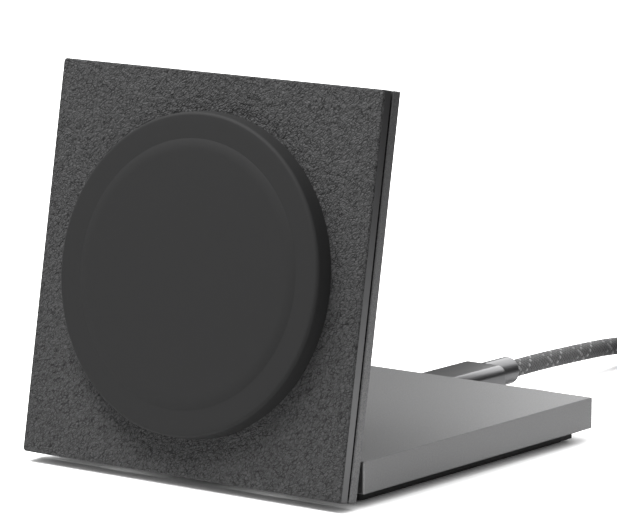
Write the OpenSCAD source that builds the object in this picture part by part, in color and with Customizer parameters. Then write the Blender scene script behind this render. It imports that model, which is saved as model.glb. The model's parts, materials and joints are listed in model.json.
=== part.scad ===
/* [Base] */
// Width of slab and panel, left to right
base_w = 80; // [70:1:110]
// Depth of the base slab, front to back
base_d = 80; // [76:1:120]
// Height of the metal slab without its foot
slab_h = 6.5; // [6.2:0.1:9]
// Thickness of the slab's top wall
top_t = 1.2; // [1:0.1:1.5]
// Thickness of the slab's side walls
wall_t = 1.6; // [1.2:0.1:2]
// Size of the broken edges on slab and panel
edge_c = 0.2; // [0.1:0.05:0.4]

/* [Foot] */
// Height of the black foot under the slab
foot_h = 2.5; // [2.3:0.1:4]
// How far the foot stands back from the slab's sides
foot_inset = 2.85; // [2.2:0.05:4]
// Thickness of the rubber pad
pad_t = 1; // [0.8:0.1:1.2]
// Depth of the recess that holds the pad
pad_seat = 0.5; // [0.3:0.1:0.6]
// Width of the rim round the pad
pad_rim = 1.2; // [1:0.1:2]
// Height of the cover's lip inside the slab
lip_h = 1.2; // [0.8:0.1:1.3]

/* [Panel] */
// Height of the upright panel along its face
panel_h = 80; // [72:1:100]
// Thickness of the metal back plate
back_t = 2.4; // [2.2:0.1:4]
// Width of the dark gap between plate and tray
spacer_t = 0.6; // [0.4:0.1:1]
// How deep that gap is
spacer_inset = 1; // [0.6:0.1:1.5]
// Thickness of the front tray
tray_t = 2.1; // [1.9:0.1:3]
// Floor left under the tray's round pocket
tray_floor = 0.8; // [0.7:0.05:0.9]
// Thickness of the leather
leather_t = 0.6; // [0.4:0.1:1]
// Corner radius of the leather
leather_r = 0.7; // [0.4:0.1:2]

/* [Hinge] */
// How far the panel leans back from upright, in degrees
lean = 10; // [5:1:15]
// Distance of the hinge axis behind the slab's front face
axis_in = 2.4; // [2.3:0.05:2.6]
// Depth of the hinge axis below the slab's top
axis_drop = 2.8; // [2.7:0.05:3]
// Gap between slab and folded panel
fold_gap = 1; // [0.8:0.1:2]
// How far the panel reaches below the hinge axis
edge_drop = 5.75; // [5.5:0.05:5.9]
// Radius of the knuckles
knuckle_r = 2.5; // [2.3:0.05:2.55]
// Width of the panel's middle knuckle
arm_w = 17; // [14:0.5:19]
// Width of each outer knuckle
ear_w = 6.9; // [5:0.1:8]
// Diameter of the hollow pin
pin_d = 2.6; // [2.4:0.1:2.8]
// Diameter of the bore through the pin
pin_bore = 1.7; // [1.5:0.1:1.8]
// Wall of the friction sleeves
sleeve_t = 0.4; // [0.3:0.05:0.45]
// Radial play between pin and sleeves
run_fit = 0.03; // [0.02:0.01:0.06]
// Thickness of the washers beside the middle knuckle
washer_t = 0.5; // [0.3:0.1:0.6]

/* [Puck] */
// Diameter of the charging puck
puck_d = 64.2; // [63:0.2:68]
// Height of the puck above the leather
puck_h = 3.9; // [3.8:0.1:5]
// Draft of the puck's side wall
puck_draft = 0.3; // [0:0.1:0.5]
// Radius of the puck's outer rim
puck_fillet = 0.8; // [0.4:0.1:0.9]
// Diameter of the raised middle disc
disc_d = 53.6; // [52:0.2:55]
// Height of the raised middle disc
disc_h = 0.4; // [0.2:0.05:0.6]
// Width of the disc's soft, gently rounded edge
disc_edge = 2.5; // [1:0.1:4]
// Wall of the soft cover
cover_t = 0.9; // [0.8:0.1:1]

/* [Charging coil] */
// Diameter of the insulated winding wire
coil_wire_d = 1; // [0.8:0.05:1.1]
// Radius of the innermost turn
coil_in_r = 10; // [9.6:0.2:12]
// Number of turns
coil_turns = 10; // [6:1:10]
// Distance from one turn to the next
coil_pitch = 1.15; // [1.12:0.01:1.2]
// Number of magnets in the ring
magnets = 16; // [12:1:20]
// Outer radius of the magnet ring
magnet_out_r = 27.2; // [26.8:0.1:27.4]
// Width of the magnet ring
magnet_w = 3.8; // [3:0.1:4]

/* [Electronics] */
// Length of the circuit board, left to right
board_w = 52; // [46:1:56]
// Depth of the circuit board
board_d = 27.4; // [26:0.2:28]
// Thickness of the circuit board
board_t = 1; // [0.8:0.1:1.2]
// Length of the steel weight, left to right
weight_w = 62; // [50:1:64]
// Gap between the steel weight and the circuit board
weight_gap = 6.1; // [5:0.1:12]
// Diameter of the lead from board to panel
lead_d = 1.2; // [0.9:0.1:1.3]

/* [Plug and cable] */
// Width of the plug's grip
grip_w = 11.6; // [10.5:0.1:12.5]
// Height of the plug's grip
grip_h = 6; // [5.6:0.1:6.4]
// Length of the plug's grip
grip_l = 17.6; // [15:0.2:22]
// Corner radius of the grip
grip_r = 2; // [1:0.1:2.6]
// Length of the round collar behind the grip
collar_l = 9.4; // [7:0.2:9.6]
// Diameter of the round collar
collar_d = 6; // [5:0.1:6]
// Diameter of the braided cable
cable_d = 3.8; // [3.4:0.1:4]

/* [Hidden] */
$fn = 64;

// Small gaps that let pieces slide into each other
play = 0.15;
// Gap round a screw's thread, a sleeve or a pin that sits tight
snug = 0.03;

// Fasteners: shank radius, head radius
m2_r = 1;
m2_head = 1.8;
m16_r = 0.8;
m16_head = 1.5;

// Heights and places in the base, with the foot's underside at zero
base_top = foot_h + slab_h;
cavity_w = base_w - 2 * wall_t;
cavity_d = base_d - 2 * wall_t;
ceiling = base_top - top_t;
floor_z = foot_h + lip_h;
pad_band = 6;
front_y = -base_d / 2;
rear_y = base_d / 2;
foot_w = base_w - 2 * foot_inset;
foot_d = base_d - 2 * foot_inset;

// Hinge axis, and the panel's layers measured from it along the panel's normal
panel_w = base_w;
axis_y = front_y + axis_in;
axis_z = base_top - axis_drop;
back_z = axis_drop + fold_gap;
spacer_z = back_z + back_t;
tray_z = spacer_z + spacer_t;
leather_z = tray_z + tray_t;
face_z = leather_z + leather_t;
panel_y = panel_h / 2 - edge_drop;
pocket_z = tray_z + tray_floor;

// Hinge
notch_r = knuckle_r + 0.4;
ear_x = arm_w / 2 + washer_t + 2 * 0.05;
ear_end = ear_x + ear_w;
notch_side = 5.9;
notch_w = 2 * (ear_end + notch_side);
sleeve_r = pin_d / 2 + run_fit + sleeve_t;
sleeve_slit = 0.6;
clip_t = 0.5;
pin_l = 2 * (ear_end + 0.2 + clip_t + 0.6);
bracket_z = floor_z + 1.4;
bracket_t = 1.5;
bracket_y = axis_y + notch_r + 0.8;
bracket_d = 7;
bracket_w = 2 * ear_end + 4;
bracket_screw = [bracket_w / 2 - m16_head - 1.5, 0];
leaf_t = 1.2;
leaf_w = 28;
leaf_top = 13;
leaf_drop = 4.2;
neck_t = 4;
arm_screw_x = leaf_w / 2 - 2.8;
arm_screw_y = [0, 9.5];
lead_meet = 3.4;

// Puck and what it holds
puck_r = puck_d / 2;
disc_r = disc_d / 2;
disc_arc = (disc_edge * disc_edge + disc_h * disc_h) / (2 * disc_h);
spigot_r = puck_r - 1;
pocket_r = spigot_r - 2.2;
lead_hole = pocket_r - 5;
carrier_r = pocket_r - play;
carrier_floor = 1.3;
stack_z = pocket_z + carrier_floor;
yoke_t = 0.6;
shield_t = 0.6;
ferrite_t = 1.5;
magnet_in_r = magnet_out_r - magnet_w;
shield_r = magnet_in_r - 1;
ferrite_z = stack_z + shield_t;
coil_z = ferrite_z + ferrite_t;
cover_under = face_z + puck_h - cover_t;
carrier_h = cover_under - 0.1 - pocket_z;
magnet_h = cover_under - 0.3 - stack_z - yoke_t;
// Places of the screws from the middle of what they hold
cover_screw = [base_w / 2 - 6.5, base_d / 2 - 6.5];
cover_screw_z = pad_t + 1;
cover_head_h = 0.9;
cover_screw_l = ceiling - cover_screw_z - cover_head_h;
boss_r = 2.5;
board_y = rear_y - wall_t - board_d / 2 - 0.4;
board_top = floor_z + 0.7 + board_t;
rear_row = 5;
inductor_x = -13;
inductor_w = 4;
inductor_h = 1.9;
weight_y = bracket_y + bracket_d + 1.4;
weight_d = board_y - board_d / 2 - weight_gap - weight_y;
board_screw = [board_w / 2 - 5.5, board_d / 2 - 3.5];
tray_screw = [panel_w / 2 - 5, panel_h / 2 - 5];
carrier_screw_r = 14;
board_screw_l = ceiling - board_top + board_t - 0.3;

// Socket and plug, centred on the slab's height
port_z = foot_h + slab_h / 2;
port_w = 8.94;
port_h = 3.2;
port_l = 7.3;
port_wall = 0.3;
port_mouth = rear_y - 0.6;
tip_w = 8.25;
tip_h = 2.4;
tip_l = 6.65;
tip_wall = 0.25;
contact_w = 7;
contact_h = 0.9;
contact_l = 5.6;
plug_y = rear_y + 0.4;
collar_y = plug_y + grip_l;
collar_seat = 1.4;
cable_y = collar_y + collar_l;

// Coil of spare cable, three turns wide and three high, on its tie
tie_t = 0.5;
spare_r = 19.3;
spare_n = 3;
spare_x = spare_r + cable_d;
spare_y = 126;
bundle = spare_n * cable_d;
spare_top = tie_t + bundle;
far_y = 140;
far_plug = [16, far_y, spare_top + grip_h / 2 + 0.05];

// Cable from the near plug to its coil, and from the coil to the far plug
cable_route = [
    [0, cable_y - collar_seat, port_z], [0, 72, port_z], [0, 80, port_z], [0, 88, 5.6],
    [0, 96, 5.4], [0, 104, 5.1], [0, 111, 4.6], [0, 118, 4]
];
tail_route = [
    [8.5, 108, 11], [3, 114.5, 12.2], [0.8, 120, 13.2], [0, 126, 14], [2, 133, 14.6],
    [7, 138, 14.9], [13.5, far_y, far_plug[2]], [far_plug[0] + collar_seat, far_y, far_plug[2]]
];

// Rectangle with exact round corners
module rounded_rect(w, d, r) {
    square([w - 2 * r, d], center = true);
    square([w, d - 2 * r], center = true);
    for (x = [-1, 1], y = [-1, 1])
        translate([x * (w / 2 - r), y * (d / 2 - r)]) circle(r);
}

// Slot shape: a rectangle with fully round ends
module slot_shape(w, h) {
    square([w - h, h], center = true);
    for (x = [-1, 1])
        translate([x * (w - h) / 2, 0]) circle(h / 2);
}

// Plate on z = 0 with round corners
module rounded_plate(w, d, r, h) {
    linear_extrude(h) rounded_rect(w, d, r);
}

// Side view of a plate whose lower and upper edges are broken by c and e
module broken_section(w, h, c, e) {
    polygon([
        [-w / 2 + c, 0], [w / 2 - c, 0], [w / 2, c], [w / 2, h - e],
        [w / 2 - e, h], [-w / 2 + e, h], [-w / 2, h - e], [-w / 2, c]
    ]);
}

// Plate with a round-cornered outline, its long edges broken by c below and e above
module broken_plate(w, d, r, h, c, e) {
    intersection() {
        rounded_plate(w, d, r, h);
        rotate([90, 0, 0]) linear_extrude(d, center = true) broken_section(w, h, c, e);
        rotate([90, 0, 90]) linear_extrude(w, center = true) broken_section(d, h, c, e);
    }
}

// Cylinder along X, centred
module rod_x(r, l) {
    rotate([0, 90, 0]) cylinder(r = r, h = l, center = true);
}

// Bar along Y from y0, its slot-shaped section centred on z
module slot_bar(w, h, l, y0, z) {
    translate([0, y0 + l, z]) rotate([90, 0, 0]) linear_extrude(l) slot_shape(w, h);
}

// Countersunk screw, its head's top at z = 0, pointing down
module flat_screw(r, head, head_h, l) {
    translate([0, 0, -head_h]) cylinder(r1 = r, r2 = head, h = head_h);
    translate([0, 0, -l]) cylinder(r = r, h = l - head_h + 0.01);
}

// Hole that the countersunk screw drops into
module flat_hole(r, head, head_h, l) {
    translate([0, 0, -head_h]) cylinder(r1 = r + snug, r2 = head + snug, h = head_h);
    translate([0, 0, -l - 0.1]) cylinder(r = r + snug, h = l + 0.1);
    cylinder(r = head + snug, h = 1);
}

// Screw with a flat cylinder head below z = 0, its shank pointing up
module pan_screw(r, head, head_h, l) {
    difference() {
        union() {
            translate([0, 0, -head_h]) cylinder(r = head, h = head_h);
            cylinder(r = r, h = l);
        }
        translate([0, 0, -head_h - 0.01]) cylinder(r = head * 0.45, h = head_h * 0.6, $fn = 6);
    }
}

// Children at the four corners given by a pair of distances
module at_corners(p) {
    for (x = [-1, 1], y = [-1, 1])
        translate([x * p[0], y * p[1], 0]) children();
}

// Children given in the panel's own axes: x across, y up the panel, z out of its face
module in_panel() {
    translate([0, axis_y, axis_z]) rotate([90 - lean, 0, 0]) children();
}

// Children given in the panel's axes with the puck's centre as origin
module in_puck() {
    in_panel() translate([0, panel_y, 0]) children();
}

// Round wire through the points p
module wire(p, r) {
    for (i = [0 : len(p) - 2]) {
        v = p[i + 1] - p[i];
        translate(p[i]) rotate([0, acos(v[2] / norm(v)), atan2(v[1], v[0])])
            cylinder(r = r, h = norm(v), $fn = 24);
    }
    for (i = [1 : len(p) - 2])
        translate(p[i]) sphere(r, $fn = 24);
}

// Sweep of an n-sided section of radius r along the points p
function unit(v) = v / norm(v);
function heading(p, i) = unit(p[min(i + 1, len(p) - 1)] - p[max(i - 1, 0)]);
function aside(t) = unit([t[1], -t[0], 0]);
function ring_at(p, i, r, n) =
    let (t = heading(p, i), s = aside(t), u = cross(s, t))
    [for (k = [0 : n - 1]) p[i] + r * (cos(360 * (k + 0.5) / n) * s + sin(360 * (k + 0.5) / n) * u)];
function tube_points(p, r, n) = [for (i = [0 : len(p) - 1]) each ring_at(p, i, r, n)];
function tube_faces(m, n) = concat(
    [[for (k = [n - 1 : -1 : 0]) k]],
    [for (i = [0 : m - 2], k = [0 : n - 1])
        let (a = i * n + k, b = i * n + (k + 1) % n) [a, b, b + n, a + n]],
    [[for (k = [0 : n - 1]) (m - 1) * n + k]]
);
module tube(p, r, n) {
    polyhedron(tube_points(p, r, n), tube_faces(len(p), n), convexity = 10);
}

// Metal slab, open below, with the hinge's notch and the socket's slot
module base_shell() {
    color("dimgray") difference() {
        union() {
            difference() {
                translate([0, 0, foot_h])
                    broken_plate(base_w, base_d, 0.4, slab_h, edge_c, edge_c);
                translate([-cavity_w / 2, -cavity_d / 2, foot_h - 1])
                    cube([cavity_w, cavity_d, ceiling - foot_h + 1]);
            }
            at_corners(cover_screw)
                translate([0, 0, floor_z + 0.1]) cylinder(r = boss_r, h = ceiling - floor_z);
            translate([0, board_y, board_top]) at_corners(board_screw)
                cylinder(r = boss_r - 0.3, h = ceiling - board_top + 0.1);
            translate([-bracket_w / 2, bracket_y - 0.8, bracket_z + bracket_t])
                cube([bracket_w, bracket_d + 0.8, ceiling - bracket_z - bracket_t + 0.1]);
        }
        translate([-notch_w / 2, front_y - 1, axis_z - notch_r])
            cube([notch_w, 1 + axis_in + notch_r, slab_h]);
        slot_bar(port_w + play, port_h + play, wall_t + 2, rear_y - wall_t - 1, port_z);
        at_corners(cover_screw) translate([0, 0, foot_h])
            cylinder(r = m2_r + snug, h = cover_screw_z + cover_screw_l + 0.2 - foot_h);
        translate([0, board_y, board_top - board_t]) at_corners(board_screw)
            cylinder(r = m16_r + snug, h = board_screw_l + 0.1);
        translate([0, bracket_y + bracket_d / 2, foot_h]) at_corners(bracket_screw)
            cylinder(r = m16_r + snug, h = base_top - foot_h - 0.7);
    }
}

// Black plastic cover that closes the slab and makes the foot
module bottom_cover() {
    lip_w = cavity_w - 2 * play;
    lip_d = cavity_d - 2 * play;
    color("#1c1c1e") difference() {
        union() {
            translate([0, 0, pad_t - pad_seat])
                broken_plate(foot_w, foot_d, 0.8, foot_h - pad_t + pad_seat, edge_c, 0);
            translate([-lip_w / 2, -lip_d / 2, foot_h]) cube([lip_w, lip_d, lip_h]);
        }
        translate([0, 0, -0.1])
            rounded_plate(foot_w - 2 * pad_rim, foot_d - 2 * pad_rim, 2, pad_t + 0.1);
        translate([-notch_w / 2 - 1, front_y, foot_h + 0.2])
            cube([notch_w + 2, axis_in + notch_r + 0.5, lip_h]);
        at_corners(cover_screw) {
            cylinder(r = m2_r + play, h = floor_z + 1);
            cylinder(r = m2_head + play, h = cover_screw_z);
        }
        at_corners(cover_screw) translate([0, 0, floor_z - 0.5]) cylinder(r = boss_r + play, h = 1);
    }
}

// Rubber pad that the charger stands on
module foot_pad() {
    pad_w = foot_w - 2 * pad_rim - play;
    pad_d = foot_d - 2 * pad_rim - play;
    color("#101012") difference() {
        rounded_plate(pad_w, pad_d, 2, pad_t);
        translate([0, 0, -0.1]) rounded_plate(pad_w - 2 * pad_band, pad_d - 2 * pad_band, 2, 0.3);
    }
}

// Four screws that hold the cover, hidden under the pad
module cover_screws() {
    color("silver") at_corners(cover_screw)
        translate([0, 0, cover_screw_z]) pan_screw(m2_r, m2_head, cover_head_h, cover_screw_l);
}

// Steel weight bonded under the slab's top
module steel_weight() {
    color("slategray") translate([0, weight_y + weight_d / 2, floor_z + 0.3])
        rounded_plate(weight_w, weight_d, 1.5, ceiling - floor_z - 0.3);
}

// Circuit board, notched round the socket
module main_board() {
    color("darkgreen") difference() {
        translate([0, board_y, board_top - board_t]) rounded_plate(board_w, board_d, 1, board_t);
        translate([-(port_w + play) / 2, port_mouth - port_l - play, 0])
            cube([port_w + play, port_l + 2, base_top]);
        translate([0, board_y, 0]) at_corners(board_screw) cylinder(r = m16_r + 0.15, h = base_top);
    }
}

// Four screws that hold the board from below
module board_screws() {
    color("silver") translate([0, board_y, board_top - board_t]) at_corners(board_screw)
        pan_screw(m16_r, m16_head, 0.6, board_screw_l);
}

// Controller and the two power stages beside it
module controller_chips() {
    color("#202022") translate([0, board_y - 4, board_top]) {
        rounded_plate(5, 5, 0.1, 0.9);
        for (x = [-1, 1]) translate([x * 7, 0, 0]) rounded_plate(3.3, 3.3, 0.1, 0.8);
    }
}

// Shielded inductor of the supply
module power_inductor() {
    color("#3a3a3c") translate([inductor_x, board_y + rear_row, board_top])
        rounded_plate(inductor_w, inductor_w, 0.6, inductor_h);
}

// Four resonance capacitors in a row
module tank_capacitors() {
    color("tan") for (i = [0 : 3])
        translate([10 + 2.4 * i, board_y + rear_row, board_top]) translate([-0.8, -1.6, 0]) cube([1.6, 3.2, 1.6]);
}

// Drawn metal shell of the socket
module port_shell() {
    color("silver") difference() {
        slot_bar(port_w, port_h, port_l, port_mouth - port_l, port_z);
        slot_bar(port_w - 2 * port_wall, port_h - 2 * port_wall, port_l,
            port_mouth - port_l + port_wall, port_z);
    }
}

// Contact tongue of the socket and the block that carries it
module port_tongue() {
    back = port_mouth - port_l + port_wall;
    color("#161618") {
        slot_bar(port_w - 2 * port_wall - 2 * snug, port_h - 2 * port_wall - 2 * snug, 0.5, back, port_z);
        translate([-3.35, back, port_z - 0.35]) cube([6.7, 5.4, 0.7]);
    }
}

// Bracket with the two outer knuckles
module hinge_bracket() {
    color("gray") difference() {
        union() {
            translate([-bracket_w / 2, bracket_y, bracket_z]) cube([bracket_w, bracket_d, bracket_t]);
            for (x = [-1, 1]) translate([x * (ear_x + ear_w / 2), 0, 0]) {
                translate([0, axis_y, axis_z]) rod_x(knuckle_r, ear_w);
                translate([-ear_w / 2, axis_y, bracket_z])
                    cube([ear_w, bracket_y - axis_y + 1, bracket_t]);
                translate([-ear_w / 2, bracket_y - 2, bracket_z])
                    cube([ear_w, 2, bracket_t]);
            }
        }
        translate([0, axis_y, axis_z]) rod_x(sleeve_r + snug, 2 * ear_end + 1);
        translate([0, bracket_y + bracket_d / 2, 0]) at_corners(bracket_screw)
            cylinder(r = m16_r + 0.15, h = base_top);
    }
}

// Two screws of the bracket
module bracket_screws() {
    color("silver") translate([0, bracket_y + bracket_d / 2, bracket_z])
        at_corners(bracket_screw) pan_screw(m16_r, m16_head, 0.8, bracket_t + 1.6);
}

// Split sleeves in the outer knuckles that hold the panel by friction
module friction_sleeves() {
    color("#b08d57") translate([0, axis_y, axis_z]) for (x = [-1, 1])
        translate([x * (ear_x + ear_w / 2), 0, 0]) difference() {
            rod_x(sleeve_r, ear_w);
            rod_x(pin_d / 2 + run_fit, ear_w + 1);
            translate([-ear_w, 0, -sleeve_slit / 2]) cube([2 * ear_w, sleeve_r + 1, sleeve_slit]);
        }
}

// Washers between the knuckles
module hinge_washers() {
    color("silver") translate([0, axis_y, axis_z]) for (x = [-1, 1])
        translate([x * (ear_x - washer_t / 2 - 0.02), 0, 0]) difference() {
            rod_x(knuckle_r - 0.3, washer_t);
            rod_x(pin_d / 2 + run_fit, washer_t + 1);
        }
}

// Lead from the board into the hinge pin
module lead_lower() {
    x1 = notch_w / 2 - 2;
    x2 = (weight_w / 2 + cavity_w / 2) / 2;
    y1 = bracket_y + bracket_d + 3;
    y2 = board_y - board_d / 2 - 1;
    z2 = board_top + lead_d / 2 + 0.05;
    z1 = floor_z + 0.9;
    color("#2a2a2c") tube([
        [lead_meet + 0.2, axis_y, axis_z], [x1 - 1, axis_y, axis_z], [x1, axis_y + 1, axis_z],
        [x1, bracket_y, z1 + 0.3], [x1 + 1, bracket_y + 3, z1], [x2 - 1, y1 - 2, z1], [x2, y1, z1],
        [x2, y2 - 4, z1], [x2 - 0.5, y2 - 1.5, (z1 + z2) / 2], [x2 - 3, y2 + 0.6, z2],
        [board_w / 2 - 3, y2 + 2.4, z2]
    ], lead_d / 2, 8);
}

// Plug tip of pressed metal, from its root at y = 0 towards -y
module tip_solid() {
    difference() {
        slot_bar(tip_w, tip_h, tip_l, -tip_l, 0);
        slot_bar(tip_w - 2 * tip_wall, tip_h - 2 * tip_wall, tip_l, -tip_l - 0.2, 0);
    }
}

// Plastic insert in the tip, slotted for the contact tongue
module insert_solid() {
    w = tip_w - 2 * tip_wall - 2 * snug;
    h = tip_h - 2 * tip_wall - 2 * snug;
    difference() {
        slot_bar(w, h, tip_l - 0.6, -tip_l + 0.3, 0);
        translate([-contact_w / 2, -tip_l, -contact_h / 2]) cube([contact_w, contact_l, contact_h]);
    }
}

// Metal grip from y = 0 to grip_l
module grip_solid() {
    translate([0, grip_l, 0]) rotate([90, 0, 0]) rounded_plate(grip_w, grip_h, grip_r, grip_l);
}

// Round collar from y = 0, with the cable's seat in its rear end
module collar_solid() {
    rotate([-90, 0, 0]) difference() {
        rotate_extrude() polygon([
            [0, 0], [collar_d / 2, 0], [collar_d / 2, collar_l - 0.4],
            [collar_d / 2 - 0.4, collar_l], [0, collar_l]
        ]);
        translate([0, 0, collar_l - collar_seat]) cylinder(r = cable_d / 2 + 0.08, h = 2);
    }
}

// Children moved to the near plug, its root on the socket's side
module at_near_plug() {
    translate([0, plug_y, port_z]) children();
}

// Children moved onto the coil, pointing to +x, the collar's rear end on the cable
module at_far_plug() {
    translate(far_plug + [collar_l + grip_l, 0, 0]) rotate([0, 0, 90]) children();
}

module plug_shell() {
    color("silver") at_near_plug() tip_solid();
}

module plug_insert() {
    color("#161618") at_near_plug() insert_solid();
}

module plug_grip() {
    color("gray") at_near_plug() grip_solid();
}

module plug_collar() {
    color("gray") at_near_plug() translate([0, grip_l, 0]) collar_solid();
}

// Cable between the near plug and its coil
module cable_run() {
    color("#5a5a5c") tube(cable_route, cable_d / 2, 8);
}

// Outer shape of the wound spare cable
module cable_coil() {
    color("#5a5a5c") translate([spare_x, spare_y, tie_t]) rotate_extrude($fn = 96)
        translate([spare_r, bundle / 2]) rounded_rect(bundle, bundle, cable_d / 2);
}

// Cable that rises off the coil to the far plug
module cable_tail() {
    color("#5a5a5c") tube(tail_route, cable_d / 2, 8);
}

// Strap round the bundle
module cable_tie() {
    span = 20;
    color("#1c1c1e") translate([spare_x, spare_y, tie_t + bundle / 2]) rotate([0, 0, -span / 2])
        rotate_extrude(angle = span, $fn = 96) translate([spare_r, 0]) difference() {
            rounded_rect(bundle + 2 * tie_t, bundle + 2 * tie_t, cable_d / 2 + tie_t);
            rounded_rect(bundle + 0.04, bundle + 0.04, cable_d / 2);
        }
}

module far_plug_collar() {
    color("gray") at_far_plug() translate([0, grip_l, 0]) collar_solid();
}

module far_plug_grip() {
    color("gray") at_far_plug() grip_solid();
}

module far_plug_shell() {
    color("silver") at_far_plug() tip_solid();
}

module far_plug_insert() {
    color("#161618") at_far_plug() insert_solid();
}

// Middle knuckle with its neck and the leaf that is screwed into the back plate
module hinge_arm() {
    color("gray") in_panel() difference() {
        union() {
            rod_x(knuckle_r, arm_w);
            translate([-arm_w / 2, -neck_t / 2, 0]) cube([arm_w, neck_t, spacer_z - leaf_t / 2]);
            translate([-leaf_w / 2, -leaf_drop, spacer_z - leaf_t])
                cube([leaf_w, leaf_drop + leaf_top, leaf_t]);
        }
        rod_x(pin_d / 2 + snug, arm_w + 1);
        cylinder(r = lead_d / 2 + 0.4, h = spacer_z + 1);
        for (x = [-1, 1], y = arm_screw_y)
            translate([x * arm_screw_x, y, spacer_z]) flat_hole(m16_r, m16_head, 0.8, 3);
    }
}

// Hollow pin that turns with the panel, with a window for the lead
module hinge_pin() {
    color("silver") in_panel() difference() {
        rod_x(pin_d / 2, pin_l);
        rod_x(pin_bore / 2, pin_l + 1);
        cylinder(r = lead_d / 2 + 0.3, h = pin_d);
        for (x = [-1, 1]) translate([x * (ear_end + 0.2 + clip_t / 2), 0, 0]) difference() {
            rod_x(pin_d, clip_t + 0.06);
            rod_x(pin_d / 2 - 0.2, clip_t + 1);
        }
    }
}

// Spring clips in the grooves at the pin's ends
module pin_clips() {
    color("#303034") in_panel() for (x = [-1, 1])
        translate([x * (ear_end + 0.2 + clip_t / 2), 0, 0]) difference() {
            rod_x(knuckle_r - 0.3, clip_t);
            rod_x(pin_d / 2 - 0.2 + snug, clip_t + 1);
            translate([-clip_t, -0.9, -knuckle_r]) cube([2 * clip_t, 1.8, knuckle_r]);
        }
}

// Four countersunk screws of the leaf
module arm_screws() {
    color("silver") in_panel() for (x = [-1, 1], y = arm_screw_y)
        translate([x * arm_screw_x, y, spacer_z]) flat_screw(m16_r, m16_head, 0.8, leaf_t + 0.7);
}

// Metal plate at the back of the panel
module back_plate() {
    color("dimgray") in_panel() difference() {
        translate([0, panel_y, back_z]) broken_plate(panel_w, panel_h, 0.4, back_t, edge_c, edge_c);
        translate([-leaf_w / 2 - play, -leaf_drop - play, spacer_z - leaf_t])
            cube([leaf_w + 2 * play, leaf_drop + leaf_top + 2 * play, leaf_t + 1]);
        translate([-arm_w / 2 - play, -neck_t / 2 - play, back_z - 1])
            cube([arm_w + 2 * play, neck_t + 2 * play, back_t + 2]);
        for (x = [-1, 1], y = arm_screw_y)
            translate([x * arm_screw_x, y, spacer_z - leaf_t - 0.8]) cylinder(r = m16_r + snug, h = 1);
        translate([0, panel_y, spacer_z - 1.5]) at_corners(tray_screw)
            cylinder(r = m16_r + snug, h = 2);
    }
}

// Black frame that spaces the tray from the plate
module spacer_frame() {
    side_w = panel_w - 2 * spacer_inset;
    side_h = panel_h - 2 * spacer_inset;
    color("#101012") in_panel() difference() {
        translate([0, panel_y, spacer_z]) rounded_plate(side_w, side_h, 1, spacer_t);
        translate([0, panel_y, spacer_z - 0.1]) cylinder(r = pocket_r - 2, h = spacer_t + 0.2);
        translate([-lead_d, -lead_d, spacer_z - 0.1])
            cube([2 * lead_d, panel_y - pocket_r + 4 + lead_d, spacer_t + 0.2]);
        translate([0, panel_y, spacer_z - 0.1]) at_corners(tray_screw)
            cylinder(r = m16_r + play, h = spacer_t + 0.2);
    }
}

// Front tray with the round pocket for the puck
module front_tray() {
    lead_end = panel_y - lead_hole;
    color("#48484a") in_panel() difference() {
        translate([0, panel_y, tray_z]) broken_plate(panel_w, panel_h, 0.4, tray_t, edge_c, 0);
        translate([0, panel_y, pocket_z]) cylinder(r = pocket_r, h = tray_t);
        translate([-lead_d / 2 - 0.3, -lead_d / 2 - 0.3, tray_z - 0.1])
            cube([lead_d + 0.6, lead_end + lead_d + 0.6, tray_floor + 0.1]);
        translate([0, panel_y, leather_z]) at_corners(tray_screw) flat_hole(m16_r, m16_head, 0.9, tray_t);
        translate([0, panel_y, tray_z]) for (a = [90, 210, 330])
            rotate([0, 0, a]) translate([carrier_screw_r, 0, 0]) rotate([180, 0, 0])
                flat_hole(m16_r, m16_head, 0.7, tray_floor);
    }
}

// Four screws from tray to plate, hidden under the leather
module tray_screws() {
    color("silver") in_puck() translate([0, 0, leather_z]) at_corners(tray_screw)
        flat_screw(m16_r, m16_head, 0.9, tray_t + spacer_t + 1.4);
}

// Leather bonded over the whole front, turned at its edge
module leather_facing() {
    color("#3c3c3e") in_puck() difference() {
        translate([0, 0, leather_z])
            broken_plate(panel_w, panel_h, leather_r, leather_t, 0, leather_t - 0.15);
        translate([0, 0, leather_z - 0.1]) cylinder(r = spigot_r + play, h = leather_t + 0.2, $fn = 128);
    }
}

// Soft cover of the puck: drafted wall, round rim, flat ring and raised disc
module puck_cover() {
    color("#333335") in_puck() translate([0, 0, face_z]) rotate_extrude($fn = 160) difference() {
        union() {
            polygon([
                [0, 0], [puck_r + puck_draft, 0], [puck_r, puck_h - puck_fillet],
                [0, puck_h - puck_fillet]
            ]);
            square([puck_r - puck_fillet, puck_h]);
            translate([puck_r - puck_fillet, puck_h - puck_fillet]) circle(puck_fillet);
            square([disc_r - disc_edge, puck_h + disc_h]);
            intersection() {
                translate([disc_r - disc_edge, puck_h + disc_h - disc_arc]) circle(disc_arc);
                translate([disc_r - disc_edge - 1, puck_h - 1]) square([disc_edge + 1, disc_h + 1]);
            }
            translate([0, -leather_t]) square([spigot_r, leather_t + 1]);
        }
        translate([0, -leather_t - 0.1])
            square([spigot_r - 1.6, puck_h + leather_t - cover_t + 0.1]);
        square([disc_r - disc_edge - cover_t, puck_h + disc_h - cover_t]);
    }
}

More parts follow.
